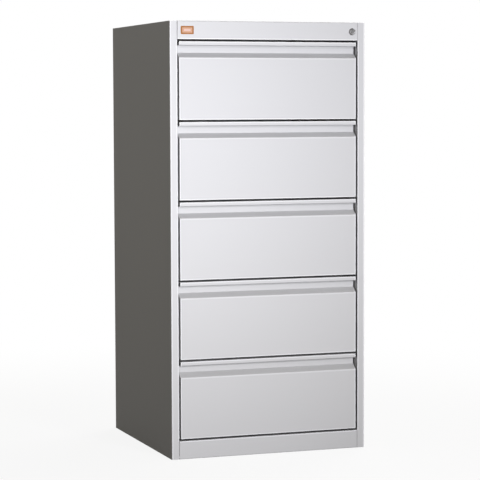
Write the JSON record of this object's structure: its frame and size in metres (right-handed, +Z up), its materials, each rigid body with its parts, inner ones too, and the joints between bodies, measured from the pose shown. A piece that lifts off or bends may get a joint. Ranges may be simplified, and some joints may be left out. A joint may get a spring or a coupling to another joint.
{
  "type": "card index cabinet",
  "caption": "Upright steel card index cabinet: full-width pull drawers on telescopic runners, split into card lanes, with a key lock in the top rail.",
  "frame": {"origin": "centre of the footprint, on the floor", "axes": "+Z up, the drawer fronts face -Y, +X to the right as seen from the front"},
  "size_m": [0.63, 0.6234, 1.321],
  "materials": {
    "carcass_paint": "satin powder coat",
    "drawer_paint": "satin powder coat",
    "runner_steel": "bright zinc plate",
    "lock_chrome": "polished",
    "lock_steel": "plain",
    "badge_enamel": "gloss enamel",
    "guide_nylon": "moulded",
    "foot_steel": "zinc plate"
  },
  "bodies": {
    "carcass": {"left_side_panel": "carcass_paint", "right_side_panel": "carcass_paint", "back_panel": "carcass_paint", "top_cover": "carcass_paint", "plinth_rail": "carcass_paint", "base_pan": "carcass_paint", "badge_plate": "badge_enamel", "runner_uprights": "carcass_paint", "fixed_runners": "runner_steel", "lock_barrel": "lock_chrome", "bar_guides": "guide_nylon"},
    "lock": {"lock_plug": "lock_chrome", "lock_cam": "lock_steel"},
    "bar": {"lock_bar": "lock_steel", "lock_arm": "lock_steel", "lock_hooks": "lock_steel"},
    "foot_front_left": {"foot_front_left": "foot_steel"},
    "foot_front_right": {"foot_front_right": "foot_steel"},
    "foot_back_left": {"foot_back_left": "foot_steel"},
    "foot_back_right": {"foot_back_right": "foot_steel"},
    "drawer_1": {"drawer_front_1": "drawer_paint", "front_liner_1": "drawer_paint", "drawer_tray_1": "drawer_paint", "lane_divider_1": "drawer_paint", "drawer_runners_1": "runner_steel"},
    "runners_1": {"middle_runners_1": "runner_steel"},
    "left_follower_1": {"left_follower_1": "drawer_paint"},
    "right_follower_1": {"right_follower_1": "drawer_paint"},
    "drawer_2": {"drawer_front_2": "drawer_paint", "front_liner_2": "drawer_paint", "drawer_tray_2": "drawer_paint", "lane_divider_2": "drawer_paint", "drawer_runners_2": "runner_steel"},
    "runners_2": {"middle_runners_2": "runner_steel"},
    "left_follower_2": {"left_follower_2": "drawer_paint"},
    "right_follower_2": {"right_follower_2": "drawer_paint"},
    "drawer_3": {"drawer_front_3": "drawer_paint", "front_liner_3": "drawer_paint", "drawer_tray_3": "drawer_paint", "lane_divider_3": "drawer_paint", "drawer_runners_3": "runner_steel"},
    "runners_3": {"middle_runners_3": "runner_steel"},
    "left_follower_3": {"left_follower_3": "drawer_paint"},
    "right_follower_3": {"right_follower_3": "drawer_paint"},
    "drawer_4": {"drawer_front_4": "drawer_paint", "front_liner_4": "drawer_paint", "drawer_tray_4": "drawer_paint", "lane_divider_4": "drawer_paint", "drawer_runners_4": "runner_steel"},
    "runners_4": {"middle_runners_4": "runner_steel"},
    "left_follower_4": {"left_follower_4": "drawer_paint"},
    "right_follower_4": {"right_follower_4": "drawer_paint"},
    "drawer_5": {"drawer_front_5": "drawer_paint", "front_liner_5": "drawer_paint", "drawer_tray_5": "drawer_paint", "lane_divider_5": "drawer_paint", "drawer_runners_5": "runner_steel"},
    "runners_5": {"middle_runners_5": "runner_steel"},
    "left_follower_5": {"left_follower_5": "drawer_paint"},
    "right_follower_5": {"right_follower_5": "drawer_paint"}
  },
  "joints": [
    {"name": "lock_turn", "type": "hinge", "parent": "carcass", "child": "lock", "pos_m": [0.273, -0.31025, 1.293], "axis": [0, 1, 0], "range_deg": [0, 90]},
    {"name": "bar_slide", "type": "slide", "parent": "carcass", "child": "bar", "axis": [0, 0, -1], "range_m": [0, 0.01131]},
    {"name": "foot_front_left_screw", "type": "slide", "parent": "carcass", "child": "foot_front_left", "axis": [0, 0, -1], "range_m": [0, 0.012]},
    {"name": "foot_front_right_screw", "type": "slide", "parent": "carcass", "child": "foot_front_right", "axis": [0, 0, -1], "range_m": [0, 0.012]},
    {"name": "foot_back_left_screw", "type": "slide", "parent": "carcass", "child": "foot_back_left", "axis": [0, 0, -1], "range_m": [0, 0.012]},
    {"name": "foot_back_right_screw", "type": "slide", "parent": "carcass", "child": "foot_back_right", "axis": [0, 0, -1], "range_m": [0, 0.012]},
    {"name": "drawer_1_slide", "type": "slide", "parent": "carcass", "child": "drawer_1", "axis": [0, -1, 0], "range_m": [0, 0.5]},
    {"name": "runners_1_slide", "type": "slide", "parent": "carcass", "child": "runners_1", "axis": [0, -1, 0], "range_m": [0, 0.25]},
    {"name": "left_follower_1_slide", "type": "slide", "parent": "drawer_1", "child": "left_follower_1", "axis": [0, -1, 0], "range_m": [0, 0.42]},
    {"name": "right_follower_1_slide", "type": "slide", "parent": "drawer_1", "child": "right_follower_1", "axis": [0, -1, 0], "range_m": [0, 0.42]},
    {"name": "drawer_2_slide", "type": "slide", "parent": "carcass", "child": "drawer_2", "axis": [0, -1, 0], "range_m": [0, 0.5]},
    {"name": "runners_2_slide", "type": "slide", "parent": "carcass", "child": "runners_2", "axis": [0, -1, 0], "range_m": [0, 0.25]},
    {"name": "left_follower_2_slide", "type": "slide", "parent": "drawer_2", "child": "left_follower_2", "axis": [0, -1, 0], "range_m": [0, 0.42]},
    {"name": "right_follower_2_slide", "type": "slide", "parent": "drawer_2", "child": "right_follower_2", "axis": [0, -1, 0], "range_m": [0, 0.42]},
    {"name": "drawer_3_slide", "type": "slide", "parent": "carcass", "child": "drawer_3", "axis": [0, -1, 0], "range_m": [0, 0.5]},
    {"name": "runners_3_slide", "type": "slide", "parent": "carcass", "child": "runners_3", "axis": [0, -1, 0], "range_m": [0, 0.25]},
    {"name": "left_follower_3_slide", "type": "slide", "parent": "drawer_3", "child": "left_follower_3", "axis": [0, -1, 0], "range_m": [0, 0.42]},
    {"name": "right_follower_3_slide", "type": "slide", "parent": "drawer_3", "child": "right_follower_3", "axis": [0, -1, 0], "range_m": [0, 0.42]},
    {"name": "drawer_4_slide", "type": "slide", "parent": "carcass", "child": "drawer_4", "axis": [0, -1, 0], "range_m": [0, 0.5]},
    {"name": "runners_4_slide", "type": "slide", "parent": "carcass", "child": "runners_4", "axis": [0, -1, 0], "range_m": [0, 0.25]},
    {"name": "left_follower_4_slide", "type": "slide", "parent": "drawer_4", "child": "left_follower_4", "axis": [0, -1, 0], "range_m": [0, 0.42]},
    {"name": "right_follower_4_slide", "type": "slide", "parent": "drawer_4", "child": "right_follower_4", "axis": [0, -1, 0], "range_m": [0, 0.42]},
    {"name": "drawer_5_slide", "type": "slide", "parent": "carcass", "child": "drawer_5", "axis": [0, -1, 0], "range_m": [0, 0.5]},
    {"name": "runners_5_slide", "type": "slide", "parent": "carcass", "child": "runners_5", "axis": [0, -1, 0], "range_m": [0, 0.25]},
    {"name": "left_follower_5_slide", "type": "slide", "parent": "drawer_5", "child": "left_follower_5", "axis": [0, -1, 0], "range_m": [0, 0.42]},
    {"name": "right_follower_5_slide", "type": "slide", "parent": "drawer_5", "child": "right_follower_5", "axis": [0, -1, 0], "range_m": [0, 0.42]}
  ],
  "couplings": [
    {"joint": "lock_turn", "follows": "bar_slide", "rad_per_m": 138.84},
    {"joint": "runners_1_slide", "follows": "drawer_1_slide", "ratio": 0.5},
    {"joint": "runners_2_slide", "follows": "drawer_2_slide", "ratio": 0.5},
    {"joint": "runners_3_slide", "follows": "drawer_3_slide", "ratio": 0.5},
    {"joint": "runners_4_slide", "follows": "drawer_4_slide", "ratio": 0.5},
    {"joint": "runners_5_slide", "follows": "drawer_5_slide", "ratio": 0.5}
  ]
}
